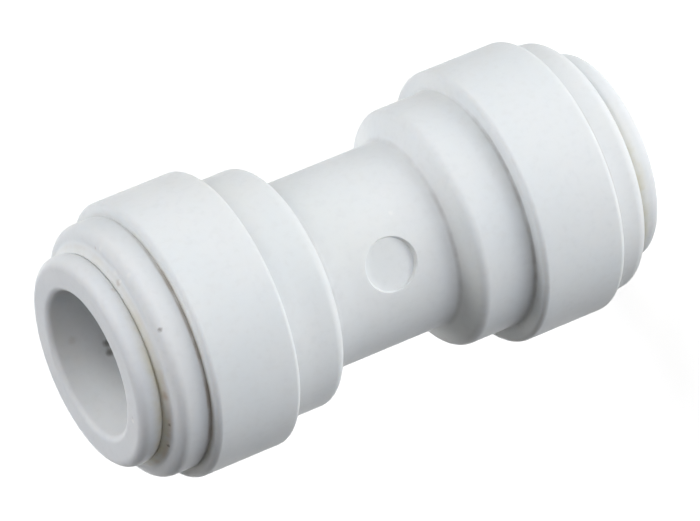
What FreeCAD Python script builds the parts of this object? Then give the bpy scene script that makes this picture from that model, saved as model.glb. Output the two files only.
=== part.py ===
import FreeCAD, Part
import os
import Sketcher
from FreeCAD import Placement, Rotation, Vector

# A straight push-fit connector for 3/8 inch tube, in millimetres.
# It stands on one collet, with its axis along +Z and the middle of the waterway at the origin.
# Both ends are alike. Heights are measured from the middle plane, and each end piece is drawn at the top.

os.makedirs("parts", exist_ok=True)
doc = FreeCAD.newDocument("push_fit_connector")

# Lengths and volumes that differ by less than these count as alike
SAME_LENGTH = 1e-4
SAME_VOLUME = 1e-3

# Driving sizes in millimetres, degrees or copies
SIZES = {
    # Tube, and how the pieces meet it
    "tube_radius": 4.76,
    "tube_clearance": 0.09,
    "seal_squeeze": 0.13,
    "tooth_bite": 0.13,
    "stop_ledge": 1.16,
    # Body: depths inside, from the middle outwards
    "stop_half": 1.5,
    "socket_length": 5.1,
    "cap_depth": 5.38,
    # Body: walls
    "waist_wall": 1.95,
    "seal_wall": 1.6,
    "barrel_wall": 1.4,
    "seal_floor_wall": 0.98,
    "shelf_wall": 1.16,
    # Body: the slope and rounds of its steps
    "step_rise": 0.82,
    "waist_crease_round": 0.4,
    "seal_rim_round": 0.75,
    "shoulder_crease_round": 0.15,
    "grip_rim_round": 0.35,
    "grip_front_round": 0.4,
    # Round recess that the mould's gate leaves on the waist
    "gate_radius": 1.95,
    "gate_depth": 0.4,
    "gate_draft": 12.0,
    # Seal ring, and the room it has in its chamber
    "seal_gauge": 2.4,
    "seal_side_room": 0.07,
    "seal_end_room": 0.2,
    # Stepped ring that backs the seal
    "backing_room": 0.2,
    "backing_sleeve_length": 1.7,
    "backing_flange": 0.7,
    "backing_clearance": 0.1,
    # Cap, welded into the barrel
    "skirt_wall": 1.15,
    "weld_clearance": 0.05,
    "skirt_foot_chamfer": 0.2,
    "nose_lap": 0.55,
    "nose_length": 2.42,
    "nose_round": 0.8,
    "mouth_chamfer": 0.3,
    "weld_groove_width": 0.25,
    "weld_groove_depth": 0.3,
    # Collet
    "neck_wall": 1.25,
    "neck_length": 1.9,
    "flange_width": 1.5,
    "flange_thickness": 1.95,
    "flange_front_round": 0.7,
    "flange_back_round": 0.85,
    "lead_rise": 0.45,
    "lead_length": 2.4,
    "lip_round": 0.5,
    "flange_gap": 0.1,
    "cam_rise": 1.0,
    "cam_lead": 0.45,
    "cam_land": 1.2,
    "cam_slope": 1.3,
    "finger_count": 6,
    "slot_width": 1.5,
    # Running clearances of the collet in the cap
    "neck_clearance": 0.2,
    "cam_clearance": 0.3,
    "tip_clearance": 0.45,
    "pull_travel": 1.2,
    "pull_stop_gap": 0.06,
    # Steel tooth, one in each finger
    "tooth_seat": 0.4,
    "tooth_height": 0.75,
    "tooth_lean": 0.6,
    "tooth_gauge": 0.4,
    "tooth_bevel": 0.35,
    "tooth_width": 1.4,
}

sheet = doc.addObject("Spreadsheet::Sheet", "Sizes")
for row, (size_name, size) in enumerate(SIZES.items(), start=1):
    sheet.set(f"A{row}", size_name)
    sheet.set(f"B{row}", str(size))
    sheet.setAlias(f"B{row}", size_name)
doc.recompute()


def total(*terms):
    """Return the expression that adds these cells of the sheet, or adds them to an expression."""
    return " + ".join(term if "Sizes." in term else f"Sizes.{term}" for term in terms)


def less(whole, *cells):
    """Return the expression that takes these cells away from the first expression."""
    return whole + "".join(f" - Sizes.{cell}" for cell in cells)


def value(expression):
    """Work an expression out in millimetres; none stands for a point on an axis."""
    return 0.0 if expression is None else float(sheet.evalExpression(expression))


# Radii, from the tube outwards
BORE = total("tube_radius", "tube_clearance")
WATERWAY = less("Sizes.tube_radius", "stop_ledge")
SEAL_BORE = less("Sizes.tube_radius", "seal_squeeze")
TOOTH_EDGE = less("Sizes.tube_radius", "tooth_bite")
SEAL_CHAMBER = total(SEAL_BORE, "seal_gauge", "seal_side_room")
BACKING_BORE = total(BORE, "backing_room")
WAIST = total(BORE, "waist_wall")
SEAL_BARREL = total(SEAL_CHAMBER, "seal_wall")
NECK = total(BORE, "neck_wall")
CAM = total(NECK, "cam_rise")
CAM_LEAD = less(CAM, "cam_lead")
FLANGE = total(NECK, "flange_width")
TOOTH_ROOT = total(NECK, "tooth_seat")
LEAD = total(BORE, "lead_rise")
MOUTH = total(NECK, "neck_clearance")
CAM_CHAMBER = total(CAM, "cam_clearance")
SKIRT = total(CAM_CHAMBER, "skirt_wall")
COUNTERBORE = total(SKIRT, "weld_clearance")
GRIP_BARREL = total(COUNTERBORE, "barrel_wall")
NOSE = total(COUNTERBORE, "nose_lap")
WELD_GROOVE = less(NOSE, "weld_groove_depth")

# Heights above the middle plane
SEAL_FLOOR = total("stop_half", "socket_length")
BACKING_FOOT = total(SEAL_FLOOR, "seal_gauge", "seal_end_room")
SHELF = total(BACKING_FOOT, "backing_sleeve_length")
SKIRT_FOOT = total(SHELF, "backing_flange")
STEP_TOP = less(SEAL_FLOOR, "seal_floor_wall")
WAIST_END = less(STEP_TOP, "step_rise")
SHOULDER = less(SHELF, "shelf_wall")
BARREL_FRONT = total(SHELF, "cap_depth")
CAP_FACE = total(BARREL_FRONT, "nose_length")
FLANGE_BACK = total(CAP_FACE, "flange_gap")
FLANGE_FRONT = total(FLANGE_BACK, "flange_thickness")
LEAD_FOOT = less(FLANGE_FRONT, "lead_length")
SLOT_END = less(FLANGE_BACK, "neck_length")
TIP = total(SKIRT_FOOT, "tip_clearance")
CAM_FOOT = total(TIP, "cam_lead")
CAM_TOP = total(CAM_FOOT, "cam_land")
SLOPE_TOP = total(CAM_TOP, "cam_slope")
TOOTH_TIP = total(TIP, "tooth_height")

# The cams and the cap's inner cone share one slope, so that they meet all round
SLOPE = "Sizes.cam_slope / Sizes.cam_rise"
CONE_FOOT = f"{CAM_TOP} + Sizes.pull_travel + Sizes.pull_stop_gap - Sizes.cam_clearance * {SLOPE}"
CONE_TOP = f"{CONE_FOOT} + ({CAM_CHAMBER} - ({MOUTH})) * {SLOPE}"


def plane(body, role):
    """Return one of the body's own origin planes or axes."""
    return [item for item in body.Origin.OriginFeatures if item.Role == role][0]


def new_body(name):
    """Add an empty body whose label names its file."""
    body = doc.addObject("PartDesign::Body", name)
    body.Label = name
    return body


def new_sketch(body, name):
    """Add a sketch on the body's XZ plane: across is the radius, up is the height."""
    sketch = body.newObject("Sketcher::SketchObject", name)
    sketch.AttachmentSupport = [(plane(body, "XZ_Plane"), "")]
    sketch.MapMode = "FlatFace"
    return sketch


def hold_point(sketch, geometry, end, across, up):
    """Hold one point of a sketch at these expressions, or on an axis where one is None."""
    for kind, axis, expression in (("DistanceX", -2, across), ("DistanceY", -1, up)):
        if expression is None:
            sketch.addConstraint(Sketcher.Constraint("PointOnObject", geometry, end, axis))
            continue
        held = Sketcher.Constraint(kind, -1, 1, geometry, end, value(expression))
        index = sketch.addConstraint(held)
        sketch.setExpression(f"Constraints[{index}]", expression)


def draw_outline(body, name, corners):
    """Draw a closed outline of straight sides through named corners, each a pair of expressions."""
    sketch = new_sketch(body, name)
    count = len(corners)
    start = [Vector(value(across), value(up), 0) for across, up in corners.values()]
    for i in range(count):
        sketch.addGeometry(Part.LineSegment(start[i], start[(i + 1) % count]), False)
    for i in range(count):
        sketch.addConstraint(Sketcher.Constraint("Coincident", i, 2, (i + 1) % count, 1))
    for i, (across, up) in enumerate(corners.values()):
        hold_point(sketch, i, 1, across, up)
    doc.recompute()
    return sketch


def turn(body, name, sketch):
    """Turn an outline a full circle about the upright axis."""
    feature = body.newObject("PartDesign::Revolution", name)
    feature.Profile = sketch
    feature.ReferenceAxis = (sketch, ["V_Axis"])
    feature.Angle = 360
    doc.recompute()
    return feature


def rings(feature, sketch, corners, corner):
    """Name the round edges that a corner of the outline leaves on the feature, at both ends if it has two."""
    spot = sketch.getPoint(list(corners).index(corner), 1)
    found = []
    for number, edge in enumerate(feature.Shape.Edges, start=1):
        curve = edge.Curve
        if not isinstance(curve, Part.Circle):
            continue
        off_radius = abs(curve.Radius - spot.x)
        off_height = abs(abs(curve.Center.z) - abs(spot.y))
        if max(off_radius, off_height) < SAME_LENGTH:
            found.append(f"Edge{number}")
    return found


def ease(body, kind, feature, edges, cell):
    """Round or chamfer edges by a size of the sheet."""
    eased = body.newObject(f"PartDesign::{kind}", f"{body.Name}_{cell}")
    eased.Base = (feature, edges)
    eased.setExpression("Radius" if kind == "Fillet" else "Size", f"Sizes.{cell}")
    doc.recompute()
    return eased


def ease_corners(body, feature, sketch, corners, easings):
    """Ease several corners of a turned outline, given as corner, kind and size."""
    for corner, kind, cell in easings:
        feature = ease(body, kind, feature, rings(feature, sketch, corners, corner), cell)
    return feature


def check_cut(before, feature):
    """Stop if a cut took nothing away."""
    if feature.Shape.Volume > before - SAME_VOLUME:
        raise RuntimeError(f"{feature.Name} cuts nothing")


def make_body():
    """The moulded body: waist, two stepped shoulders, two barrels and the stepped bore inside."""
    body = new_body("body")
    corners = {
        "way": (WATERWAY, None),
        "way_end": (WATERWAY, "Sizes.stop_half"),
        "stop": (BORE, "Sizes.stop_half"),
        "socket_end": (BORE, SEAL_FLOOR),
        "seal_floor": (SEAL_CHAMBER, SEAL_FLOOR),
        "shelf": (SEAL_CHAMBER, SHELF),
        "counterbore": (COUNTERBORE, SHELF),
        "front_in": (COUNTERBORE, BARREL_FRONT),
        "front_out": (GRIP_BARREL, BARREL_FRONT),
        "grip_rim": (GRIP_BARREL, SHOULDER),
        "shoulder": (SEAL_BARREL, SHOULDER),
        "seal_rim": (SEAL_BARREL, STEP_TOP),
        "waist_end": (WAIST, WAIST_END),
        "waist": (WAIST, None),
    }
    sketch = draw_outline(body, "body_outline", corners)
    half = turn(body, "body_half", sketch)
    whole = body.newObject("PartDesign::Mirrored", "body_both_ends")
    whole.Originals = [half]
    whole.MirrorPlane = (plane(body, "XY_Plane"), [""])
    body.Tip = whole
    doc.recompute()
    eased = ease_corners(body, whole, sketch, corners, (
        ("waist_end", "Fillet", "waist_crease_round"),
        ("seal_rim", "Fillet", "seal_rim_round"),
        ("shoulder", "Fillet", "shoulder_crease_round"),
        ("grip_rim", "Fillet", "grip_rim_round"),
        ("front_out", "Fillet", "grip_front_round"),
    ))
    before = eased.Shape.Volume
    cut = cut_gate_recess(body)
    check_cut(before, cut)
    return body


def cut_gate_recess(body):
    """The flat round recess in the waist's -Y side, with a drafted wall."""
    sketch = new_sketch(body, "gate_outline")
    sketch.setExpression("AttachmentOffset.Base.z", WAIST)
    sketch.addGeometry(Part.Circle(Vector(0, 0, 0), Vector(0, 0, 1), SIZES["gate_radius"]), False)
    sketch.addConstraint(Sketcher.Constraint("Coincident", 0, 3, -1, 1))
    radius = sketch.addConstraint(Sketcher.Constraint("Radius", 0, SIZES["gate_radius"]))
    sketch.setExpression(f"Constraints[{radius}]", "Sizes.gate_radius")
    cut = body.newObject("PartDesign::Pocket", "gate_recess")
    cut.Profile = sketch
    cut.setExpression("Length", "Sizes.gate_depth")
    cut.setExpression("TaperAngle", "-Sizes.gate_draft")
    doc.recompute()
    return cut


def make_cap(end):
    """The cap: a skirt in the barrel, an inner cone for the cams and the nose outside."""
    body = new_body(f"end_cap_{end}")
    groove_top = total(BARREL_FRONT, "weld_groove_width")
    corners = {
        "foot_in": (CAM_CHAMBER, SKIRT_FOOT),
        "foot_out": (SKIRT, SKIRT_FOOT),
        "skirt_top": (SKIRT, BARREL_FRONT),
        "seat": (WELD_GROOVE, BARREL_FRONT),
        "groove": (WELD_GROOVE, groove_top),
        "nose_foot": (NOSE, groove_top),
        "nose": (NOSE, CAP_FACE),
        "mouth": (MOUTH, CAP_FACE),
        "cone_top": (MOUTH, CONE_TOP),
        "cone_foot": (CAM_CHAMBER, CONE_FOOT),
    }
    sketch = draw_outline(body, f"cap_outline_{end}", corners)
    turned = turn(body, f"cap_turned_{end}", sketch)
    ease_corners(body, turned, sketch, corners, (
        ("foot_out", "Chamfer", "skirt_foot_chamfer"),
        ("nose", "Fillet", "nose_round"),
        ("mouth", "Chamfer", "mouth_chamfer"),
    ))
    return body


def make_collet(end):
    """The release collet: a flange with a tapered mouth, a neck and slotted fingers that end in cams."""
    body = new_body(f"collet_{end}")
    corners = {
        "tip_in": (BORE, TIP),
        "tip_out": (CAM_LEAD, TIP),
        "cam_foot": (CAM, CAM_FOOT),
        "cam_top": (CAM, CAM_TOP),
        "neck_foot": (NECK, SLOPE_TOP),
        "neck_top": (NECK, FLANGE_BACK),
        "flange_back": (FLANGE, FLANGE_BACK),
        "flange_front": (FLANGE, FLANGE_FRONT),
        "lip": (LEAD, FLANGE_FRONT),
        "lead_foot": (BORE, LEAD_FOOT),
    }
    sketch = draw_outline(body, f"collet_outline_{end}", corners)
    turned = turn(body, f"collet_turned_{end}", sketch)
    eased = ease_corners(body, turned, sketch, corners, (
        ("flange_front", "Fillet", "flange_front_round"),
        ("flange_back", "Fillet", "flange_back_round"),
        ("lip", "Fillet", "lip_round"),
    ))
    slots = repeat_cut(body, "slots", eased, draw_slot(body, end), "One side")
    repeat_cut(body, "tooth_seats", slots, draw_tooth(body, "tooth_seat_outline"), "Symmetric")
    return body


def draw_slot(body, end):
    """A round-ended slot from the fingers' tips to the neck, halfway between two fingers."""
    sketch = new_sketch(body, f"slot_outline_{end}")
    sketch.AttachmentOffset = Placement(Vector(0, 0, 0), Rotation(Vector(0, 1, 0), 1))
    sketch.setExpression("AttachmentOffset.Rotation.Angle", "180 / Sizes.finger_count - 90")
    half_width = "Sizes.slot_width / 2"
    crown_height = f"{SLOT_END} - {half_width}"
    below_tip = less(TIP, "tip_clearance")
    half = value(half_width)
    top = value(crown_height)
    foot = value(below_tip)
    right_foot = Vector(half, foot, 0)
    right_top = Vector(half, top, 0)
    left_top = Vector(-half, top, 0)
    left_foot = Vector(-half, foot, 0)
    for side in (
        Part.LineSegment(right_foot, right_top),
        Part.Arc(right_top, Vector(0, top + half, 0), left_top),
        Part.LineSegment(left_top, left_foot),
        Part.LineSegment(left_foot, right_foot),
    ):
        sketch.addGeometry(side, False)
    for i in range(4):
        sketch.addConstraint(Sketcher.Constraint("Coincident", i, 2, (i + 1) % 4, 1))
    hold_point(sketch, 0, 1, half_width, below_tip)
    hold_point(sketch, 0, 2, half_width, crown_height)
    hold_point(sketch, 2, 1, f"-{half_width}", crown_height)
    hold_point(sketch, 2, 2, f"-{half_width}", below_tip)
    height = sketch.addConstraint(Sketcher.Constraint("DistanceY", -1, 1, 1, 3, top))
    sketch.setExpression(f"Constraints[{height}]", crown_height)
    doc.recompute()
    return sketch


def draw_tooth(body, name):
    """The tooth's side view: a leaning strip with a bevelled edge that points into the connector."""
    bevel_rise = f"Sizes.tooth_lean * Sizes.tooth_bevel / ({TOOTH_ROOT} - ({TOOTH_EDGE}))"
    root_height = total(TOOTH_TIP, "tooth_lean")
    return draw_outline(body, name, {
        "edge": (TOOTH_EDGE, TOOTH_TIP),
        "root_foot": (TOOTH_ROOT, root_height),
        "root_top": (TOOTH_ROOT, total(root_height, "tooth_gauge")),
        "bevel": (total(TOOTH_EDGE, "tooth_bevel"), f"{TOOTH_TIP} + {bevel_rise} + Sizes.tooth_gauge"),
    })


def repeat_cut(body, name, before, sketch, side):
    """Cut a sketch through the collet's wall once for each finger."""
    cut = body.newObject("PartDesign::Pocket", f"{body.Name}_{name}_first")
    cut.Profile = sketch
    cut.SideType = side
    through_wall = f"2 * ({CAM})"
    cut.setExpression("Length", through_wall if side == "One side" else "Sizes.tooth_width")
    doc.recompute()
    check_cut(before.Shape.Volume, cut)
    pattern = body.newObject("PartDesign::PolarPattern", f"{body.Name}_{name}")
    pattern.Originals = [cut]
    pattern.Axis = (plane(body, "Z_Axis"), [""])
    pattern.Angle = 360
    pattern.setExpression("Occurrences", "Sizes.finger_count")
    body.Tip = pattern
    doc.recompute()
    check_cut(cut.Shape.Volume, pattern)
    return pattern


def make_tooth(end, number):
    """One stamped steel tooth, drawn in the first finger's place and turned to its own."""
    body = new_body(f"grip_tooth_{end}_{number}")
    strip = body.newObject("PartDesign::Pad", f"tooth_strip_{end}_{number}")
    strip.Profile = draw_tooth(body, f"tooth_outline_{end}_{number}")
    strip.SideType = "Symmetric"
    strip.setExpression("Length", "Sizes.tooth_width")
    doc.recompute()
    body.Placement = Placement(Vector(0, 0, 0), Rotation(Vector(0, 0, 1), 360 / FINGERS * (number - 1)))
    return body


def make_backing_ring(end):
    """The stepped ring that holds the seal in its chamber, clamped between the shelf and the cap."""
    body = new_body(f"backing_ring_{end}")
    sleeve_radius = less(SEAL_CHAMBER, "backing_clearance")
    flange_radius = less(COUNTERBORE, "backing_clearance")
    corners = {
        "foot_in": (BACKING_BORE, BACKING_FOOT),
        "foot_out": (sleeve_radius, BACKING_FOOT),
        "sleeve_top": (sleeve_radius, SHELF),
        "flange_foot": (flange_radius, SHELF),
        "flange_top": (flange_radius, SKIRT_FOOT),
        "top_in": (BACKING_BORE, SKIRT_FOOT),
    }
    turn(body, f"backing_turned_{end}", draw_outline(body, f"backing_outline_{end}", corners))
    return body


def make_seal_ring(end):
    """The rubber ring that seals on the tube."""
    ring = doc.addObject("Part::Torus", f"seal_ring_{end}")
    ring.Label = f"seal_ring_{end}"
    ring.setExpression("Radius1", f"{SEAL_BORE} + Sizes.seal_gauge / 2")
    ring.setExpression("Radius2", "Sizes.seal_gauge / 2")
    ring.setExpression("Placement.Base.z", f"({SEAL_FLOOR} + {BACKING_FOOT}) / 2")
    doc.recompute()
    return ring


def make_end(end):
    """All the pieces of one end, as they lie at the top."""
    teeth = [make_tooth(end, number) for number in range(1, FINGERS + 1)]
    return [make_seal_ring(end), make_backing_ring(end), make_cap(end), make_collet(end)] + teeth


def turn_over(piece):
    """Turn a piece of the top end over, about the X axis, to the bottom end."""
    piece.setExpression("Placement.Base.z", None)
    piece.Placement = Placement(Vector(0, 0, 0), Rotation(Vector(1, 0, 0), 180)) * piece.Placement


FINGERS = int(SIZES["finger_count"])
pieces = [make_body()] + make_end("top")
for lower_piece in make_end("bottom"):
    turn_over(lower_piece)
    pieces.append(lower_piece)
doc.recompute()

for item in doc.Objects:
    if "Invalid" in item.State or "Error" in item.State:
        raise RuntimeError(f"{item.Label} did not build: {item.State}")
for piece in pieces:
    if piece.Shape.isNull() or not piece.Shape.isValid() or len(piece.Shape.Solids) != 1:
        raise RuntimeError(f"{piece.Label} is not one valid solid")
    print(f"{piece.Label}: {piece.Shape.Volume:.2f} mm3")
for piece in pieces:
    piece.Shape.exportStep(f"parts/{piece.Label}.step")
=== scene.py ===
import bmesh
import bpy
import numpy as np
from mathutils import Matrix


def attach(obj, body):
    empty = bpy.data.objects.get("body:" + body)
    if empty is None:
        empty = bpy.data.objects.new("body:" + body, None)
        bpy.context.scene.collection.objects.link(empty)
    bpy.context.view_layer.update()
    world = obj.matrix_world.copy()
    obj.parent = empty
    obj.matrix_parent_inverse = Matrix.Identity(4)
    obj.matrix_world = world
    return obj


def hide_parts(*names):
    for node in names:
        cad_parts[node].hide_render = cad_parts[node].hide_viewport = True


# A straight white push-fit connector for two tubes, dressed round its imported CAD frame.
# Each section makes one piece, or one group of like pieces, in the order in which they go together.
# Sizes are in millimetres, in the CAD model's frame, and a mesh is turned into metres as it is made.

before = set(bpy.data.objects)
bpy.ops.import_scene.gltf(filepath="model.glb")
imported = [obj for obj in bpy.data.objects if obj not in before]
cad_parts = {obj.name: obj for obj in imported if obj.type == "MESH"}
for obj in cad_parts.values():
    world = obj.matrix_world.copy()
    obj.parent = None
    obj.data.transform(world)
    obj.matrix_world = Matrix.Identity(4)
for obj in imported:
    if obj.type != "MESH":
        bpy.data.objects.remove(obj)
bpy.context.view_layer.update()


# Body
# The body is one injection moulding in white polypropylene: a waist between two stepped barrels.
# The mould's gate leaves a flat round recess on the waist's -Y side, and its two halves close at +X and
# -X. Inside, the bore steps out for the seal, its backing ring and the cap.

MM = 0.001
MERGE_MM = 0.0002
BODY_WHITE = (0.85, 0.873, 0.882)
WAIST_RADIUS = 6.8
SEAL_BARREL_RADIUS = 8.7
GRIP_BARREL_RADIUS = 10.0
STEP_HEIGHT = 9.74
BARREL_END = 16.28
COUNTERBORE_RADIUS = 8.6
COUNTERBORE_SHELF = 10.9
SEAL_CHAMBER_RADIUS = 7.1
SEAL_SHELF = 6.6
SOCKET_RADIUS = 4.85
TUBE_STOP = 1.5
WATERWAY_RADIUS = 3.6
BODY_CORNERS = (
    # Radius, height and round of each corner, up the outside from the waist and down the bore
    (WAIST_RADIUS, 4.8, 0.4),
    (SEAL_BARREL_RADIUS, 5.62, 0.75),
    (SEAL_BARREL_RADIUS, STEP_HEIGHT, 0.15),
    (GRIP_BARREL_RADIUS, STEP_HEIGHT, 0.35),
    (GRIP_BARREL_RADIUS, BARREL_END, 0.4),
    (COUNTERBORE_RADIUS, BARREL_END, 0.12),
    (COUNTERBORE_RADIUS, COUNTERBORE_SHELF, 0.15),
    (SEAL_CHAMBER_RADIUS, COUNTERBORE_SHELF, 0.15),
    (SEAL_CHAMBER_RADIUS, SEAL_SHELF, 0.2),
    (SOCKET_RADIUS, SEAL_SHELF, 0.2),
    (SOCKET_RADIUS, TUBE_STOP, 0.12),
    (WATERWAY_RADIUS, TUBE_STOP, 0.25),
)
GATE_RADIUS = 1.95
GATE_DEPTH = 0.4
GATE_DRAFT = np.tan(np.radians(12))
GATE_EASE = 0.24
GATE_TURN = 270
GATE_WALL_MARGIN = 0.1
GATE_PLAIN_ROWS = 4
GATE_WALL_ROWS = 19
GATE_FLOOR_SHARES = (0.86, 0.68, 0.48, 0.28, 0.1)
RIM_REPEATS = 20
PATCH_CELLS = 24
PATCH_HALF_HEIGHT = 2.6
CLOSING_LINE_DEPTH = 0.018
CLOSING_LINE_HALF_WIDTH = 0.07
DEGREES_BESIDE_LINE = (-1.1, -0.7, -0.4, -0.2, 0.2, 0.4, 0.7, 1.1)
COLUMNS = 192
ROW_MARGIN = 0.01


def rounded_path(corners, arc_points=7):
    """Return the points of an open path whose inner corners are rounded.

    Each row is a radius, a height and a round. A corner's arc touches both of its sides. The arc's centre
    lies on the line that halves their angle, at round / sin(half the angle) from the corner, and its points
    turn from the first side to the second in equal steps.
    """
    corners = np.array(corners, float)
    place = corners[:, :2]
    rounds = corners[1:-1, 2]
    back = place[:-2] - place[1:-1]
    ahead = place[2:] - place[1:-1]
    back /= np.linalg.norm(back, axis=1, keepdims=True)
    ahead /= np.linalg.norm(ahead, axis=1, keepdims=True)
    halving = back + ahead
    halving /= np.linalg.norm(halving, axis=1, keepdims=True)
    across = ahead - back
    across /= np.linalg.norm(across, axis=1, keepdims=True)
    half_angle = np.arccos(np.clip((back * halving).sum(axis=1), -1, 1))
    centre = place[1:-1] + halving * (rounds / np.sin(half_angle))[:, None]
    sweep = (np.pi / 2 - half_angle)[:, None] * np.linspace(-1, 1, arc_points)
    outwards = -halving[:, None] * np.cos(sweep)[..., None] + across[:, None] * np.sin(sweep)[..., None]
    arcs = centre[:, None] + rounds[:, None, None] * outwards
    return np.vstack([place[:1], arcs.reshape(-1, 2), place[-1:]])


def with_rows_between(path, longest=0.7, nearest=0.03):
    """Return the path with more points on its long straight runs.

    Places are measured along the path. A long run gets a point close to each of its ends, so that a
    rounded corner's shading doesn't spread along it, and points in between at regular places.
    """
    run = np.linalg.norm(np.diff(path, axis=0), axis=1)
    along = np.concatenate([[0], np.cumsum(run)])
    is_long = run > 6 * nearest
    close = np.concatenate([along[:-1][is_long] + nearest, along[1:][is_long] - nearest])
    regular = np.arange(longest / 2, along[-1], longest)
    on_run = np.clip(np.searchsorted(along, regular) - 1, 0, len(run) - 1)
    clear = (regular - along[on_run] > 3 * nearest) & (along[on_run + 1] - regular > 3 * nearest)
    places = np.sort(np.concatenate([along, close, regular[clear & is_long[on_run]]]))
    return np.column_stack([np.interp(places, along, path[:, 0]), np.interp(places, along, path[:, 1])])


def turned(profile, turns):
    """Turn a profile about the Z axis: x = radius cos(turn), y = radius sin(turn), z = height."""
    radius, height = profile[:, :1], profile[:, 1:]
    return np.stack([radius * np.cos(turns), radius * np.sin(turns), height + 0 * turns], axis=-1)


def grid_faces(rows, columns, closed_rows=True):
    """Number the four corners of each cell of a grid whose columns close on themselves."""
    row = np.arange(rows if closed_rows else rows - 1)[:, None]
    column = np.arange(columns)[None, :]
    next_row = (row + 1) % rows
    next_column = (column + 1) % columns
    corners = (row * columns + column, row * columns + next_column,
               next_row * columns + next_column, next_row * columns + column)
    return np.stack(corners, axis=-1)


def new_piece(name, points, faces, material):
    """Make a smooth-shaded piece from points in millimetres, with the points that coincide merged."""
    mesh = bpy.data.meshes.new(name)
    mesh.from_pydata((points.reshape(-1, 3) * MM).tolist(), [], faces)
    cleaned = bmesh.new()
    cleaned.from_mesh(mesh)
    bmesh.ops.remove_doubles(cleaned, verts=cleaned.verts, dist=MERGE_MM * MM)
    cleaned.to_mesh(mesh)
    cleaned.free()
    mesh.shade_smooth()
    mesh.materials.append(material)
    piece = bpy.data.objects.new(name, mesh)
    bpy.context.scene.collection.objects.link(piece)
    return piece


def eased_larger(first, second):
    """The larger of two depths, and up to GATE_EASE / 4 deeper where they are nearly alike."""
    near = np.clip(1 - np.abs(first - second) / GATE_EASE, 0, 1)
    return np.maximum(first, second) + near**2 * GATE_EASE / 4


def depth_at_gate(across, along):
    """Depth under the plane that touches the waist at -Y, where the recess is cut.

    The waist alone is radius - sqrt(radius^2 - across^2) deep. The recess is a cone that narrows at the
    draft angle, cut off flat at its full depth. The surface is the deeper of the two, with eased edges.
    """
    waist = WAIST_RADIUS - np.sqrt(WAIST_RADIUS**2 - across**2)
    cone = (GATE_RADIUS - np.hypot(across, along)) / GATE_DRAFT
    recess = -eased_larger(-cone, np.full_like(cone, -GATE_DEPTH))
    return eased_larger(waist, recess)


def gate_patch(border_across, border_along):
    """Return the points and faces of the waist round its gate recess, as spokes from the patch's border.

    A point lies at (reach cos(angle), depth - waist radius, reach sin(angle)). Along each spoke the reach
    falls from the border to the recess's rim, then in fine steps over the rim, wall and foot, and then to
    the middle. The rim is where the cone meets the waist, found by repeating rim = gate radius - draft *
    the waist's depth at the rim.
    """
    angle = np.arctan2(border_along, border_across)
    order = np.argsort(angle)
    angle = angle[order]
    border = np.hypot(border_across, border_along)[order]
    foot = GATE_RADIUS - GATE_DEPTH * GATE_DRAFT
    rim = np.full_like(angle, GATE_RADIUS)
    for _ in range(RIM_REPEATS):
        sunk = WAIST_RADIUS - np.sqrt(WAIST_RADIUS**2 - (rim * np.cos(angle)) ** 2)
        rim = GATE_RADIUS - GATE_DRAFT * sunk
    outside = rim + GATE_WALL_MARGIN
    inside = foot - GATE_WALL_MARGIN
    plain = border + np.linspace(0, 1, GATE_PLAIN_ROWS + 1)[:-1, None] * (outside - border)
    wall = outside + np.linspace(0, 1, GATE_WALL_ROWS)[:, None] * (inside - outside)
    bottom = np.array(GATE_FLOOR_SHARES)[:, None] * np.full_like(angle, inside)
    reach = np.vstack([plain, wall, bottom])
    across = reach * np.cos(angle)
    along = reach * np.sin(angle)
    points = np.stack([across, depth_at_gate(across, along) - WAIST_RADIUS, along], axis=-1).reshape(-1, 3)
    rows, spokes = reach.shape
    quads = grid_faces(rows, spokes, closed_rows=False).reshape(-1, 4).tolist()
    last = (rows - 1) * spokes + np.arange(spokes)
    middle = np.full(spokes, len(points))
    fan = np.column_stack([last, np.roll(last, -1), middle]).tolist()
    return np.vstack([points, [0, GATE_DEPTH - WAIST_RADIUS, 0]]), quads + fan


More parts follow.
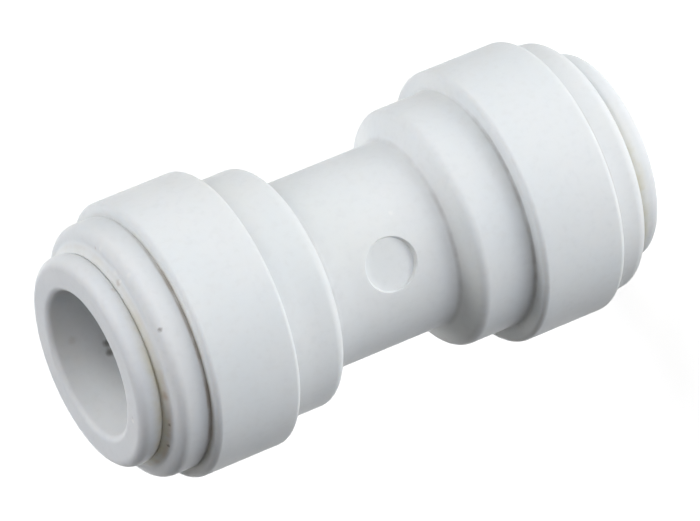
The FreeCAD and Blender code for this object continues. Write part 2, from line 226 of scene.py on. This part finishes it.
def body_mesh():
    """Return the body's points and faces: a turned surface with the gate's patch let into the waist.

    The profile goes up the outside, down the bore and back to the waist, and is its own mirror image. At
    +X and -X the outside sinks by a bell curve of the distance from the mould's closing plane.
    """
    upper = rounded_path([(WAIST_RADIUS, PATCH_HALF_HEIGHT, 0), *BODY_CORNERS, (WATERWAY_RADIUS, 0, 0)])
    upper = with_rows_between(upper)
    lower = upper[::-1][1:] * (1, -1)
    at_patch = np.linspace(-PATCH_HALF_HEIGHT, PATCH_HALF_HEIGHT, PATCH_CELLS + 1)
    waist_rows = np.column_stack([np.full(PATCH_CELLS - 1, WAIST_RADIUS), at_patch[1:-1]])
    profile = np.vstack([upper, lower, waist_rows])
    regular = np.arange(COLUMNS) * 360 / COLUMNS
    beside = np.array(DEGREES_BESIDE_LINE)
    degrees = np.sort(np.concatenate([regular, beside % 360, 180 + beside]))
    turns = np.radians(degrees)
    points = turned(profile, turns)

    outer = np.zeros(len(profile), bool)
    end_row = int(np.argmax(upper[:, 1] > BARREL_END - ROW_MARGIN))
    outer[: end_row + 1] = True
    outer[len(upper) + len(lower) - end_row - 1 :] = True
    sink = CLOSING_LINE_DEPTH * np.exp(-((points[..., 1] / CLOSING_LINE_HALF_WIDTH) ** 2)) * outer[:, None]
    points[..., :2] *= (1 - sink / profile[:, :1])[..., None]

    rows, columns = points.shape[:2]
    faces = grid_faces(rows, columns)
    middle_height = (profile[:, 1] + np.roll(profile[:, 1], -1)) / 2
    patch_row = (np.abs(middle_height) < PATCH_HALF_HEIGHT) & (profile[:, 0] > WAIST_RADIUS - ROW_MARGIN)
    half_column = 180 / COLUMNS
    patch_turn = half_column * PATCH_CELLS
    patch_column = np.abs(degrees + half_column - GATE_TURN) < patch_turn
    kept = faces[~(patch_row[:, None] & patch_column[None, :])]

    side_degrees = GATE_TURN + np.linspace(-patch_turn, patch_turn, PATCH_CELLS + 1)
    side = WAIST_RADIUS * np.cos(np.radians(side_degrees))
    along_side = np.full(PATCH_CELLS - 1, side[-1])
    border_across = np.concatenate([side, side, along_side, -along_side])
    border_along = np.concatenate([
        np.full(PATCH_CELLS + 1, PATCH_HALF_HEIGHT),
        np.full(PATCH_CELLS + 1, -PATCH_HALF_HEIGHT),
        at_patch[1:-1],
        at_patch[1:-1],
    ])
    patch_points, patch_faces = gate_patch(border_across, border_along)
    first = rows * columns
    patch_faces = [[first + corner for corner in face] for face in patch_faces]
    return np.vstack([points.reshape(-1, 3), patch_points]), kept.tolist() + patch_faces


def put(tree, kind, inputs=(), **settings):
    """Add a node. Each input is a number, a vector, or the output of another node that feeds it."""
    made = tree.nodes.new(kind)
    for setting, choice in settings.items():
        setattr(made, setting, choice)
    for socket, feed in dict(inputs).items():
        if isinstance(feed, bpy.types.NodeSocket):
            tree.links.new(feed, made.inputs[socket])
        else:
            made.inputs[socket].default_value = feed
    return made


def sums(tree, operation, first, second=0.0, third=0.0):
    """Join numbers by one operation of a Math node."""
    return put(tree, "ShaderNodeMath", {0: first, 1: second, 2: third}, operation=operation).outputs[0]


def open_material(name):
    """Return a new material's tree, its shader and the place of the shaded point on the object."""
    material = bpy.data.materials.new(name)
    material.use_nodes = True
    tree = material.node_tree
    shader = tree.nodes["Principled BSDF"]
    place = put(tree, "ShaderNodeTexCoord").outputs["Object"]
    return material, tree, shader, place


def clouds(tree, place, size, detail=2.0, stretch=(1, 1, 1)):
    """Soft noise from 0 to 1 whose patches are about one size across, in millimetres."""
    stretched = put(tree, "ShaderNodeMapping", {"Vector": place, "Scale": stretch}).outputs[0]
    inputs = {"Vector": stretched, "Scale": 1 / (size * MM), "Detail": detail}
    return put(tree, "ShaderNodeTexNoise", inputs).outputs[0]


def from_to(tree, value, start, end, low=0.0, high=1.0):
    """Ease a value from low at start to high at end, and hold it beyond them."""
    inputs = {"Value": value, "From Min": start, "From Max": end, "To Min": low, "To Max": high}
    return put(tree, "ShaderNodeMapRange", inputs, interpolation_type="SMOOTHSTEP").outputs[0]


def blended(tree, share, first, second):
    """Blend from the first colour to the second by a share from 0 to 1."""
    node_output = bpy.types.NodeSocket
    colours = [colour if isinstance(colour, node_output) else (*colour, 1) for colour in (first, second)]
    return put(tree, "ShaderNodeMix", {0: share, 6: colours[0], 7: colours[1]}, data_type="RGBA").outputs[2]


def near_ring(tree, place, radius, height, reach):
    """1 on a ring about the Z axis, and on its twin at the other end, easing to 0 at a reach from them.

    The point's radius and the size of its height are taken as a flat place, and the distance is measured
    there to the ring's own radius and height.
    """
    flat = put(tree, "ShaderNodeVectorMath", {0: place, 1: (1, 1, 0)}, operation="MULTIPLY").outputs[0]
    point_radius = put(tree, "ShaderNodeVectorMath", {0: flat}, operation="LENGTH").outputs["Value"]
    point_height = put(tree, "ShaderNodeSeparateXYZ", {0: place}).outputs["Z"]
    size_of_height = sums(tree, "ABSOLUTE", point_height)
    section = put(tree, "ShaderNodeCombineXYZ", {"X": point_radius, "Y": size_of_height})
    ring = (radius * MM, height * MM, 0)
    inputs = {0: section.outputs[0], 1: ring}
    distance = put(tree, "ShaderNodeVectorMath", inputs, operation="DISTANCE").outputs["Value"]
    return from_to(tree, distance, reach * MM, 0.0)


def towards_side(tree, place, direction, start, end, low=0.0):
    """Ease from low to 1 as the point's distance along a level direction goes from start to end."""
    dot = put(tree, "ShaderNodeVectorMath", {0: place, 1: direction}, operation="DOT_PRODUCT")
    return from_to(tree, dot.outputs["Value"], start * MM, end * MM, low)


SPOT_EDGE_PATCH = 0.8
SPOT_CORE = 0.15


def near_spot(tree, place, spot, reach, ragged):
    """1 in the core of a spot on the surface, easing to 0 at a reach from it.

    Noise, in patches a share of the reach across, moves the edge in and out by up to ragged millimetres.
    """
    centre = tuple(coordinate * MM for coordinate in spot)
    apart = put(tree, "ShaderNodeVectorMath", {0: place, 1: centre}, operation="DISTANCE")
    wobble = sums(tree, "SUBTRACT", clouds(tree, place, reach * SPOT_EDGE_PATCH), 0.5)
    distance = sums(tree, "MULTIPLY_ADD", wobble, 2 * ragged * MM, apart.outputs["Value"])
    return from_to(tree, distance, reach * MM, reach * SPOT_CORE * MM)


def with_dirt_and_shade_ring(tree, place, colour, ring, side, patches):
    """Lay a ring of dirt and painted shade over a colour, by the product of its strength, its side and its
    patches.
    """
    radius, height, reach, strength, tint = ring
    line = sums(tree, "MULTIPLY", near_ring(tree, place, radius, height, reach), strength)
    line = sums(tree, "MULTIPLY", line, side)
    return blended(tree, sums(tree, "MULTIPLY", line, patches), colour, tint)


def with_mark(tree, place, colour, mark, ragged):
    """Lay one small mark over a colour."""
    spot, reach, strength, tint = mark
    share = sums(tree, "MULTIPLY", near_spot(tree, place, spot, reach, ragged), strength)
    return blended(tree, share, colour, tint)


COOLER = (0.975, 0.99, 1.0)
WARMER = (1.0, 0.99, 0.965)
MOTTLED = 0.93


def cloudy_white(tree, place, white):
    """The moulded plastic's white, with wide faint clouds of cooler and warmer white and fine mottling."""
    cool = tuple(part * share for part, share in zip(white, COOLER))
    warm = tuple(part * share for part, share in zip(white, WARMER))
    deep = tuple(part * MOTTLED for part in white)
    colour = blended(tree, from_to(tree, clouds(tree, place, 7.0), 0.35, 0.7), white, cool)
    colour = blended(tree, from_to(tree, clouds(tree, place, 11.0), 0.5, 0.75, high=0.7), colour, warm)
    mottling = from_to(tree, clouds(tree, place, 0.5, detail=4.0), 0.45, 0.8, high=0.5)
    return blended(tree, mottling, colour, deep)


PLASTIC_IOR = 1.49
PLASTIC_SPECULAR = 0.08
PLASTIC_SUBSURFACE = 0.35
SUBSURFACE_SPREAD = (1.0, 0.9, 0.8)
FLOW_DEPTH = 0.012


def satin_plastic(tree, shader, place, colour, gloss=0.44, grain=0.0016, depth=0.6):
    """Finish a white plastic: its colour, a satin gloss that varies, the mould's fine texture, and how deep,
    in millimetres, light goes into it."""
    tree.links.new(colour, shader.inputs["Base Color"])
    patches = from_to(tree, clouds(tree, place, 3.0, detail=3.0), 0.3, 0.7, gloss - 0.05, gloss + 0.07)
    scuffs = from_to(tree, clouds(tree, place, 0.9, detail=5.0, stretch=(1, 3, 6)), 0.62, 0.75, high=0.12)
    tree.links.new(sums(tree, "ADD", patches, scuffs), shader.inputs["Roughness"])
    flow = put(tree, "ShaderNodeBump", {"Height": clouds(tree, place, 3.5), "Distance": FLOW_DEPTH * MM})
    fine = clouds(tree, place, 0.3, detail=3.0)
    inputs = {"Height": fine, "Distance": grain * MM, "Normal": flow.outputs[0]}
    texture = put(tree, "ShaderNodeBump", inputs)
    tree.links.new(texture.outputs[0], shader.inputs["Normal"])
    shader.inputs["IOR"].default_value = PLASTIC_IOR
    shader.inputs["Specular IOR Level"].default_value = PLASTIC_SPECULAR
    shader.inputs["Subsurface Weight"].default_value = PLASTIC_SUBSURFACE
    shader.inputs["Subsurface Radius"].default_value = SUBSURFACE_SPREAD
    shader.inputs["Subsurface Scale"].default_value = depth * MM


# The taupe, olive and greys tint dirt and dust, and also paint shade in creases; the white is for scratches
# and painted highlights.
DIRT_AND_SHADE_TAUPE = (0.47, 0.4, 0.33)
DIRT_AND_SHADE_OLIVE = (0.77, 0.73, 0.57)
DUST_AND_SHADE_GREY = (0.6, 0.59, 0.58)
CREASE_SHADE_GREY = (0.4, 0.4, 0.4)
SCRATCH_AND_HIGHLIGHT_WHITE = (0.97, 0.97, 0.95)
GATE_SIDE = (0, -1, 0)
BODY_DIRT_AND_SHADE = (
    # Radius, height, reach, strength and colour of each ring: painted shade in and beside the two step
    # creases, and then dirt along the weld with the cap, and painted shade over the barrel's front beside it
    (6.8, 4.65, 1.3, 0.3, DUST_AND_SHADE_GREY),
    (6.85, 4.82, 0.3, 0.6, CREASE_SHADE_GREY),
    (8.7, 9.3, 1.2, 0.25, DUST_AND_SHADE_GREY),
    (8.74, 9.7, 0.28, 0.6, CREASE_SHADE_GREY),
    (9.1, 16.32, 0.8, 0.3, DIRT_AND_SHADE_OLIVE),
    (9.1, 16.32, 0.34, 0.6, DIRT_AND_SHADE_TAUPE),
)
# A white spot on the waist, the painted highlight of a tiny bump, as its place, reach, strength and colour
WAIST_BUMP_HIGHLIGHT = ((3.17, -6.01, -1.4), 0.25, 0.45, SCRATCH_AND_HIGHLIGHT_WHITE)

body_plastic, tree, shader, place = open_material("body_white_plastic")
colour = cloudy_white(tree, place, BODY_WHITE)
patches = from_to(tree, clouds(tree, place, 1.2, detail=4.0), 0.3, 0.7, 0.45, 1.0)
# The rings, painted shade in the creases and dirt with painted shade at the weld, are full towards -Y and
# fade to 0.3 of that towards +Y
side = towards_side(tree, place, GATE_SIDE, 3.0, 8.5, low=0.3)
for ring in BODY_DIRT_AND_SHADE:
    colour = with_dirt_and_shade_ring(tree, place, colour, ring, side, patches)
# A painted highlight on the waist
colour = with_mark(tree, place, colour, WAIST_BUMP_HIGHLIGHT, ragged=0.1)
satin_plastic(tree, shader, place, colour)

points, faces = body_mesh()
body_shell = new_piece("body_shell", points, faces, body_plastic)
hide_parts("body")
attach(body_shell, "housing")


# Seal rings
# Each seal is a moulded ring of black rubber that lies in its chamber at the end of the tube's socket.
# The CAD rings have the right shape, so they stay and get the rubber's finish.

RUBBER_BLACK = (0.028, 0.028, 0.03)
RUBBER_BLOOM = (0.06, 0.06, 0.062)
RUBBER_TEXTURE_DEPTH = 0.003
RUBBER_IOR = 1.5

seal_rubber, tree, shader, place = open_material("seal_black_rubber")
bloom = from_to(tree, clouds(tree, place, 1.6, detail=4.0), 0.42, 0.75)
tree.links.new(blended(tree, bloom, RUBBER_BLACK, RUBBER_BLOOM), shader.inputs["Base Color"])
dull = from_to(tree, clouds(tree, place, 0.8, detail=3.0), 0.3, 0.7, 0.38, 0.6)
tree.links.new(dull, shader.inputs["Roughness"])
fine = clouds(tree, place, 0.2, detail=4.0)
skin = put(tree, "ShaderNodeBump", {"Height": fine, "Distance": RUBBER_TEXTURE_DEPTH * MM})
tree.links.new(skin.outputs[0], shader.inputs["Normal"])
shader.inputs["IOR"].default_value = RUBBER_IOR
for end in ("top", "bottom"):
    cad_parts[f"seal_ring_{end}"].data.materials.clear()
    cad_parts[f"seal_ring_{end}"].data.materials.append(seal_rubber)


# Backing rings
# Each backing ring is a plain moulded plastic ring, clamped between the body's shelf and the cap, that
# keeps the seal in its chamber. The CAD rings stay and get the plastic's finish.

BACKING_WHITE = (0.78, 0.79, 0.775)

backing_plastic, tree, shader, place = open_material("backing_plain_plastic")
satin_plastic(tree, shader, place, cloudy_white(tree, place, BACKING_WHITE), gloss=0.5)
for end in ("top", "bottom"):
    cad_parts[f"backing_ring_{end}"].data.materials.clear()
    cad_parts[f"backing_ring_{end}"].data.materials.append(backing_plastic)


# Collets
# Each release collet is a smooth white moulding: a flange to press on, a neck, and six slotted fingers
# whose outer cams meet the cap's cone. It slides in the cap, so each one rides on its own body.

COLLET_WHITE = (0.845, 0.862, 0.878)
# Grey of two painted spots in the bore that stand for the shade in a slot's opening
SLOT_SHADE_GREY = (0.2, 0.19, 0.17)
BORE_RADIUS = 4.85
CAM_RADIUS = 7.1
NECK_RADIUS = 6.1
FLANGE_RADIUS = 7.6
FLANGE_BACK = 18.8
FLANGE_FACE = 20.75
FINGERS = 6
FINGER_COLUMNS = 32
FINGER_TIP_LEAD = 0.12
SLOT_HALF_WIDTH = 0.75
SLOT_CROWN_CENTRE = 16.15
SLOT_TOP = SLOT_CROWN_CENTRE + SLOT_HALF_WIDTH
CROWN_ROWS = 7
SHARP_ANGLE = np.radians(40)
FINGER_OUTSIDE = (
    # Radius, height and round of each corner, up a finger's outside from its tip to the slot's crown
    (6.6, 12.05, 0),
    (6.75, 12.15, 0.05),
    (CAM_RADIUS, 12.5, 0.12),
    (CAM_RADIUS, 13.7, 0.2),
    (NECK_RADIUS, 15.0, 0.3),
    (NECK_RADIUS, SLOT_CROWN_CENTRE, 0),
)
COLLET_HEAD = (
    # Radius, height and round of each corner, up the neck, round the flange and down into the bore
    (NECK_RADIUS, SLOT_TOP, 0),
    (NECK_RADIUS, FLANGE_BACK, 0.12),
    (FLANGE_RADIUS, FLANGE_BACK, 0.85),
    (FLANGE_RADIUS, FLANGE_FACE, 0.7),
    (5.3, FLANGE_FACE, 0.5),
    (BORE_RADIUS, 18.35, 13.0),
    (BORE_RADIUS, SLOT_TOP, 0),
)
# Direction, -X and -Y, in which the painted shade behind the flange deepens
CREASE_SHADE_SIDE = (-0.7, -0.7, 0)
COLLET_DIRT_AND_SHADE = (
    # Radius, height, reach, strength and colour of each ring of dirt and painted shade behind the flange
    (7.5, 19.1, 1.0, 0.9, DIRT_AND_SHADE_OLIVE),
    (7.45, 19.13, 0.2, 0.25, DIRT_AND_SHADE_TAUPE),
)
COLLET_MARKS = (
    # Place, reach, strength and colour of two painted dark spots in the bore, for the shade in a slot's
    # opening, and of a faint brownish patch there, and then of a painted highlight and two smudges on the
    # flange
    ((-0.3, 4.84, 16.97), 0.4, 0.75, SLOT_SHADE_GREY),
    ((-0.95, 4.76, 16.97), 0.42, 0.8, SLOT_SHADE_GREY),
    ((0.76, 4.79, 19.27), 0.5, 0.25, DIRT_AND_SHADE_TAUPE),
    ((-3.57, -5.18, 20.75), 0.22, 0.9, SCRATCH_AND_HIGHLIGHT_WHITE),
    ((-3.3, -5.3, 20.72), 0.16, 0.4, DUST_AND_SHADE_GREY),
    ((5.32, -5.32, 19.27), 0.3, 0.35, DIRT_AND_SHADE_TAUPE),
)


def collet_mesh():
    """Return the points and faces of the top collet, as six like sectors.

    A sector's points turn by side * (half a sector - asin(half the slot's width / radius)), with side
    running from -1 to 1. The slot's half width is full below its crown, sqrt(width^2 - rise^2) in the
    crown, and 0 above, where neighbouring sectors meet. The rows of the outer and inner walls share
    their heights, so that the slot's sides are strips between them.
    """
    outside = with_rows_between(rounded_path(FINGER_OUTSIDE), longest=0.5)
    crown_turn = np.linspace(0, np.pi / 2, CROWN_ROWS + 2)[1:-1]
    crown_height = SLOT_CROWN_CENTRE + SLOT_HALF_WIDTH * np.sin(crown_turn)
    outside = np.vstack([outside, np.column_stack([np.full(CROWN_ROWS, NECK_RADIUS), crown_height])])
    inside = np.column_stack([np.full(len(outside), BORE_RADIUS), outside[:, 1]])
    inside[0, 0] = BORE_RADIUS + FINGER_TIP_LEAD
    head = with_rows_between(rounded_path(COLLET_HEAD, arc_points=10), longest=0.5)
    profile = np.vstack([outside, head, inside[::-1]])
    height = profile[:, 1]
    rise = np.clip(height - SLOT_CROWN_CENTRE, 0, SLOT_HALF_WIDTH)
    half_width = np.sqrt(SLOT_HALF_WIDTH**2 - rise**2)
    half_sector = np.pi / FINGERS - np.arcsin(half_width / profile[:, 0])
    side = np.linspace(-1, 1, FINGER_COLUMNS + 1)
    middle = np.arange(FINGERS) * 2 * np.pi / FINGERS
    turns = middle[:, None, None] + half_sector[None, :, None] * side
    radius = profile[None, :, :1]
    heights = height[None, :, None] + 0 * turns
    points = np.stack([radius * np.cos(turns), radius * np.sin(turns), heights], axis=-1)

    rows, columns = len(profile), FINGER_COLUMNS + 1
    number = np.arange(points[..., 0].size).reshape(FINGERS, rows, columns)
    over = np.roll(number, -1, axis=1)
    corners = [number[..., :-1], number[..., 1:], over[..., 1:], over[..., :-1]]
    walls = np.stack(corners, axis=-1).reshape(-1, 4)
    wall_rows = len(outside)
    edges = []
    for column, turn_round in ((0, False), (FINGER_COLUMNS, True)):
        outer = number[:, : wall_rows + 1, column]
        inner = number[:, ::-1, column][:, : wall_rows + 1]
        corners = [outer[:, :-1], outer[:, 1:], inner[:, 1:], inner[:, :-1]]
        strip = np.stack(corners, axis=-1).reshape(-1, 4)
        edges.append(strip[:, ::-1] if turn_round else strip)
    return points, np.vstack([walls, *edges])


def turned_over(points):
    """Turn points half round the X axis, from the top end to the bottom one."""
    return points * (1, -1, -1)


collet_plastic, tree, shader, place = open_material("collet_white_plastic")
colour = cloudy_white(tree, place, COLLET_WHITE)
patches = from_to(tree, clouds(tree, place, 1.0, detail=4.0), 0.3, 0.7, 0.4, 1.0)
# The rings are full towards -X and -Y, where their painted shade is deepest, and fade out on the other side
side = towards_side(tree, place, CREASE_SHADE_SIDE, -1.0, 6.5)
for ring in COLLET_DIRT_AND_SHADE:
    colour = with_dirt_and_shade_ring(tree, place, colour, ring, side, patches)
# Painted dark spots and a faint patch in the bore, then a painted highlight and smudges on the flange
for mark in COLLET_MARKS:
    colour = with_mark(tree, place, colour, mark, ragged=0.12)
satin_plastic(tree, shader, place, colour, gloss=0.4, grain=0.001, depth=1.0)

points, faces = collet_mesh()
for end, body, lie in (("top", "top_collet", np.array), ("bottom", "bottom_collet", turned_over)):
    collet_shell = new_piece(f"collet_shell_{end}", lie(points), faces.tolist(), collet_plastic)
    collet_shell.data.set_sharp_from_angle(angle=SHARP_ANGLE)
    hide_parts(f"collet_{end}")
    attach(collet_shell, body)


# Grip teeth
# Each tooth is a bevelled strip, stamped from stainless steel and moulded into its finger, that bites
# the tube. The CAD teeth have the right shape, so they stay and get the steel's finish.

STEEL = (0.6, 0.6, 0.61)
STEEL_DARK = (0.42, 0.42, 0.44)
STEEL_GRAIN_DEPTH = 0.002

tooth_steel, tree, shader, place = open_material("tooth_stamped_steel")
rolled = clouds(tree, place, 0.25, detail=5.0, stretch=(1, 1, 12))
steel_colour = blended(tree, from_to(tree, rolled, 0.3, 0.75), STEEL, STEEL_DARK)
tree.links.new(steel_colour, shader.inputs["Base Color"])
tree.links.new(from_to(tree, rolled, 0.3, 0.7, 0.24, 0.42), shader.inputs["Roughness"])
grain = put(tree, "ShaderNodeBump", {"Height": rolled, "Distance": STEEL_GRAIN_DEPTH * MM})
tree.links.new(grain.outputs[0], shader.inputs["Normal"])
shader.inputs["Metallic"].default_value = 1.0
for end in ("top", "bottom"):
    for number in range(1, FINGERS + 1):
        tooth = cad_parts[f"grip_tooth_{end}_{number}"]
        tooth.data.materials.clear()
        tooth.data.materials.append(tooth_steel)


# End caps
# Each cap is a moulded ring in the same white plastic: a skirt welded into the barrel, an inner cone that
# closes the collet's fingers, and a rounded nose outside. A fine groove is left round it at the weld, and
# a low lip round its mouth lies just behind the collet's flange.

CAP_WHITE = (0.845, 0.862, 0.872)
RUST_TINT = (0.55, 0.4, 0.27)
SPECK_BROWN = (0.16, 0.13, 0.1)
CAP_FOOT = 11.6
SKIRT_RADIUS = 8.55
GROOVE_RADIUS = 9.06
NOSE_RADIUS = 9.15
NOSE_FACE = 18.7
MOUTH_RADIUS = 6.3
CAM_CHAMBER_RADIUS = 7.4
CAP_CORNERS = (
    # Radius, height and round of each corner, up the outside from the skirt's foot and down the inside
    (8.35, CAP_FOOT, 0.05),
    (SKIRT_RADIUS, 11.8, 0.1),
    (SKIRT_RADIUS, BARREL_END, 0.05),
    (GROOVE_RADIUS, BARREL_END, 0.05),
    (GROOVE_RADIUS, 16.5, 0.03),
    (NOSE_RADIUS, 16.53, 0.03),
    (NOSE_RADIUS, NOSE_FACE, 0.8),
    (8.2, NOSE_FACE, 0.5),
    (7.44, 19.11, 0.05),
    (7.2, 18.87, 0.04),
    (6.85, 18.76, 0.1),
    (6.6, NOSE_FACE, 0.1),
    (MOUTH_RADIUS, 18.4, 0.1),
    (MOUTH_RADIUS, 16.0, 0.2),
    (CAM_CHAMBER_RADIUS, 14.57, 0.2),
    (CAM_CHAMBER_RADIUS, CAP_FOOT, 0.1),
)
CAP_START = (8.0, CAP_FOOT, 0)
CAP_DIRT_AND_SHADE = (
    # Each ring of dirt and painted shade, as on the body, and the side that it lies on, with the distances
    # out that way at which it begins and is full. The first is along the weld, the rest behind the collet's
    # flange
    ((9.05, 16.4, 0.3, 0.6, DIRT_AND_SHADE_TAUPE), (GATE_SIDE, 3.0, 8.5)),
    ((7.5, 18.95, 0.75, 0.9, DIRT_AND_SHADE_OLIVE), (CREASE_SHADE_SIDE, -1.0, 6.5)),
    ((7.42, 19.09, 0.3, 0.3, DIRT_AND_SHADE_TAUPE), (GATE_SIDE, 1.0, 6.0)),
    ((7.9, 18.82, 0.3, 0.4, RUST_TINT), (CREASE_SHADE_SIDE, 5.0, 7.2)),
)
CAP_MARKS = (
    # Place, reach, strength and colour of each speck, smudge and scratch on the nose
    ((2.38, -8.67, 18.31), 0.24, 0.55, SPECK_BROWN),
    ((-1.38, -7.45, 18.72), 0.22, 0.8, SPECK_BROWN),
    ((-2.2, -7.4, 18.8), 0.5, 0.5, RUST_TINT),
    ((-4.4, -6.5, 18.8), 0.2, 0.6, SPECK_BROWN),
    ((-6.1, -5.15, 18.8), 0.2, 0.6, SPECK_BROWN),
    ((7.91, -2.9, 18.67), 0.18, 0.4, DIRT_AND_SHADE_TAUPE),
    ((6.31, -4.33, 18.7), 0.3, 0.5, DIRT_AND_SHADE_TAUPE),
    ((5.6, -5.4, 18.75), 0.4, 0.5, DIRT_AND_SHADE_TAUPE),
    ((7.85, -3.56, 18.59), 0.26, 0.45, SCRATCH_AND_HIGHLIGHT_WHITE),
    ((6.37, -5.15, 18.7), 0.34, 0.45, SCRATCH_AND_HIGHLIGHT_WHITE),
    ((6.16, -6.49, 18.41), 0.26, 0.4, SCRATCH_AND_HIGHLIGHT_WHITE),
    ((5.75, -5.59, 18.72), 0.22, 0.5, SCRATCH_AND_HIGHLIGHT_WHITE),
)


def cap_mesh():
    """Return the points and faces of the top cap, a closed profile turned about the Z axis."""
    outline = rounded_path([CAP_START, *CAP_CORNERS, CAP_START], arc_points=8)
    profile = with_rows_between(outline)[:-1]
    turns = np.arange(COLUMNS) * 2 * np.pi / COLUMNS
    return turned(profile, turns), grid_faces(len(profile), COLUMNS).reshape(-1, 4)


cap_plastic, tree, shader, place = open_material("cap_white_plastic")
colour = cloudy_white(tree, place, CAP_WHITE)
patches = from_to(tree, clouds(tree, place, 1.2, detail=4.0), 0.3, 0.7, 0.4, 1.0)
# Each ring is full on its side, where its dirt and painted shade are deepest, and fades to a quarter of that
# away from it
for ring, (direction, start, full) in CAP_DIRT_AND_SHADE:
    side = towards_side(tree, place, direction, start, full, low=0.25)
    colour = with_dirt_and_shade_ring(tree, place, colour, ring, side, patches)
for mark in CAP_MARKS:
    colour = with_mark(tree, place, colour, mark, ragged=0.14)
satin_plastic(tree, shader, place, colour)

points, faces = cap_mesh()
for end, lie in (("top", np.array), ("bottom", turned_over)):
    cap_shell = new_piece(f"cap_shell_{end}", lie(points), faces.tolist(), cap_plastic)
    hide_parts(f"end_cap_{end}")
    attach(cap_shell, "housing")


# Floor and light
# A plain pale studio floor carries the connector among six large soft lamps, in a dim white room. Those
# set low shine through the floor, as on a light table, so it takes shadows but casts none. Only what is
# seen of floor and room is lifted to white, so the light on the connector stays plain.

FLOOR_HALF = 3000.0
FLOOR_HEIGHT = -20.77
FLOOR_PALE = (0.66, 0.66, 0.66)
FLOOR_DIM = 0.99
FLOOR_PATCH = 300.0
FLOOR_ROUGHNESS = 0.9
FLOOR_LIFT = 0.86
ROOM_LIGHT = (0.03, 0.03, 0.03)
LAMP_DISTANCE = 600.0
LAMPS = (
    # Name, azimuth and elevation in degrees, width in millimetres, power in watts, and colour
    ("key_lamp", -5, 35, 300, 0.96, (1.0, 1.0, 0.94)),
    ("side_lamp", -65, 25, 300, 0.57, (1.0, 0.95, 0.9)),
    ("upper_lamp", 6, 62, 400, 1.42, (0.9, 0.92, 1.0)),
    ("low_lamp", -80, -25, 400, 1.16, (0.83, 0.89, 1.0)),
    ("under_lamp", -80, -55, 400, 1.72, (1.0, 0.99, 0.94)),
    ("back_lamp", 104, -8, 600, 2.0, (1.0, 1.0, 0.98)),
)


def seen_directly(tree):
    """1 for rays from the camera, a reflection or a clear body, and 0 for the rays that light surfaces."""
    rays = put(tree, "ShaderNodeLightPath").outputs
    seen = sums(tree, "MAXIMUM", rays["Is Camera Ray"], rays["Is Glossy Ray"])
    return sums(tree, "MAXIMUM", seen, rays["Is Transmission Ray"])


floor_paint, tree, shader, place = open_material("floor_pale")
dimmer = tuple(part * FLOOR_DIM for part in FLOOR_PALE)
floor_shade = blended(tree, clouds(tree, place, FLOOR_PATCH), FLOOR_PALE, dimmer)
tree.links.new(floor_shade, shader.inputs["Base Color"])
shader.inputs["Roughness"].default_value = FLOOR_ROUGHNESS
shader.inputs["Specular IOR Level"].default_value = 0.0
shader.inputs["Emission Color"].default_value = (1, 1, 1, 1)
lift = sums(tree, "MULTIPLY", seen_directly(tree), FLOOR_LIFT)
tree.links.new(lift, shader.inputs["Emission Strength"])
corner = np.array([(-1, -1, 0), (1, -1, 0), (1, 1, 0), (-1, 1, 0)]) * FLOOR_HALF
floor = new_piece("floor", corner + (0, 0, FLOOR_HEIGHT), [(0, 1, 2, 3)], floor_paint)
floor.visible_shadow = False

world = bpy.data.worlds.new("studio_room")
world.use_nodes = True
tree = world.node_tree
room = tree.nodes["Background"]
room.inputs["Color"].default_value = (*ROOM_LIGHT, 1)
white = put(tree, "ShaderNodeBackground", {"Color": (1, 1, 1, 1), "Strength": 1.0})
choice = put(tree, "ShaderNodeMixShader", {0: seen_directly(tree), 1: room.outputs[0], 2: white.outputs[0]})
tree.links.new(choice.outputs[0], tree.nodes["World Output"].inputs["Surface"])
bpy.context.scene.world = world


def facing(back, right):
    """Return a turn whose Z axis points back from what is looked at, with its X axis to the right."""
    back = np.array(back) / np.linalg.norm(back)
    right = np.array(right) - back * np.dot(right, back)
    right /= np.linalg.norm(right)
    return np.column_stack([right, np.cross(back, right), back])


def place_at(thing, turn, position):
    """Give a lamp or the camera its turn and its place, in millimetres."""
    matrix = np.eye(4)
    matrix[:3, :3] = turn
    matrix[:3, 3] = position * MM
    thing.matrix_world = Matrix(matrix.tolist())
    bpy.context.scene.collection.objects.link(thing)


for name, azimuth, elevation, width, power, lamp_colour in LAMPS:
    lamp = bpy.data.lights.new(name, "AREA")
    lamp.shape = "DISK"
    lamp.size = width * MM
    lamp.energy = power
    lamp.color = lamp_colour
    azimuth, elevation = np.radians((azimuth, elevation))
    level = np.cos(elevation)
    towards = np.array((level * np.cos(azimuth), level * np.sin(azimuth), np.sin(elevation)))
    lamp_stand = bpy.data.objects.new(name, lamp)
    lamp_stand.visible_camera = False
    place_at(lamp_stand, facing(towards, (0, 1, 0)), towards * LAMP_DISTANCE)


# Camera
# The view of the photograph, taken with a long lens from near the open end and a little to its side.
# Its place, its turn and its lens were fitted to the round edges that the photograph shows.

CAMERA_BACK = np.array((0.21516392, -0.89622222, 0.38793068))
CAMERA_RIGHT = np.array((-0.28570705, -0.43762332, -0.85255927))
CAMERA_UP = np.array((0.93385008, 0.07260546, -0.35021776))
CAMERA_DISTANCE = 490.2
CAMERA_ASIDE = 0.140
CAMERA_RAISED = -0.209
LENS = 367.25
SENSOR_WIDTH = 36.0
CLIP_START = 0.01

camera_data = bpy.data.cameras.new("camera")
camera_data.sensor_fit = "HORIZONTAL"
camera_data.sensor_width = SENSOR_WIDTH
camera_data.lens = LENS
camera_data.clip_start = CLIP_START
camera = bpy.data.objects.new("camera", camera_data)
position = CAMERA_BACK * CAMERA_DISTANCE + CAMERA_RIGHT * CAMERA_ASIDE + CAMERA_UP * CAMERA_RAISED
place_at(camera, facing(CAMERA_BACK, CAMERA_RIGHT), position)
bpy.context.scene.camera = camera
bpy.context.scene.view_settings.view_transform = "Standard"
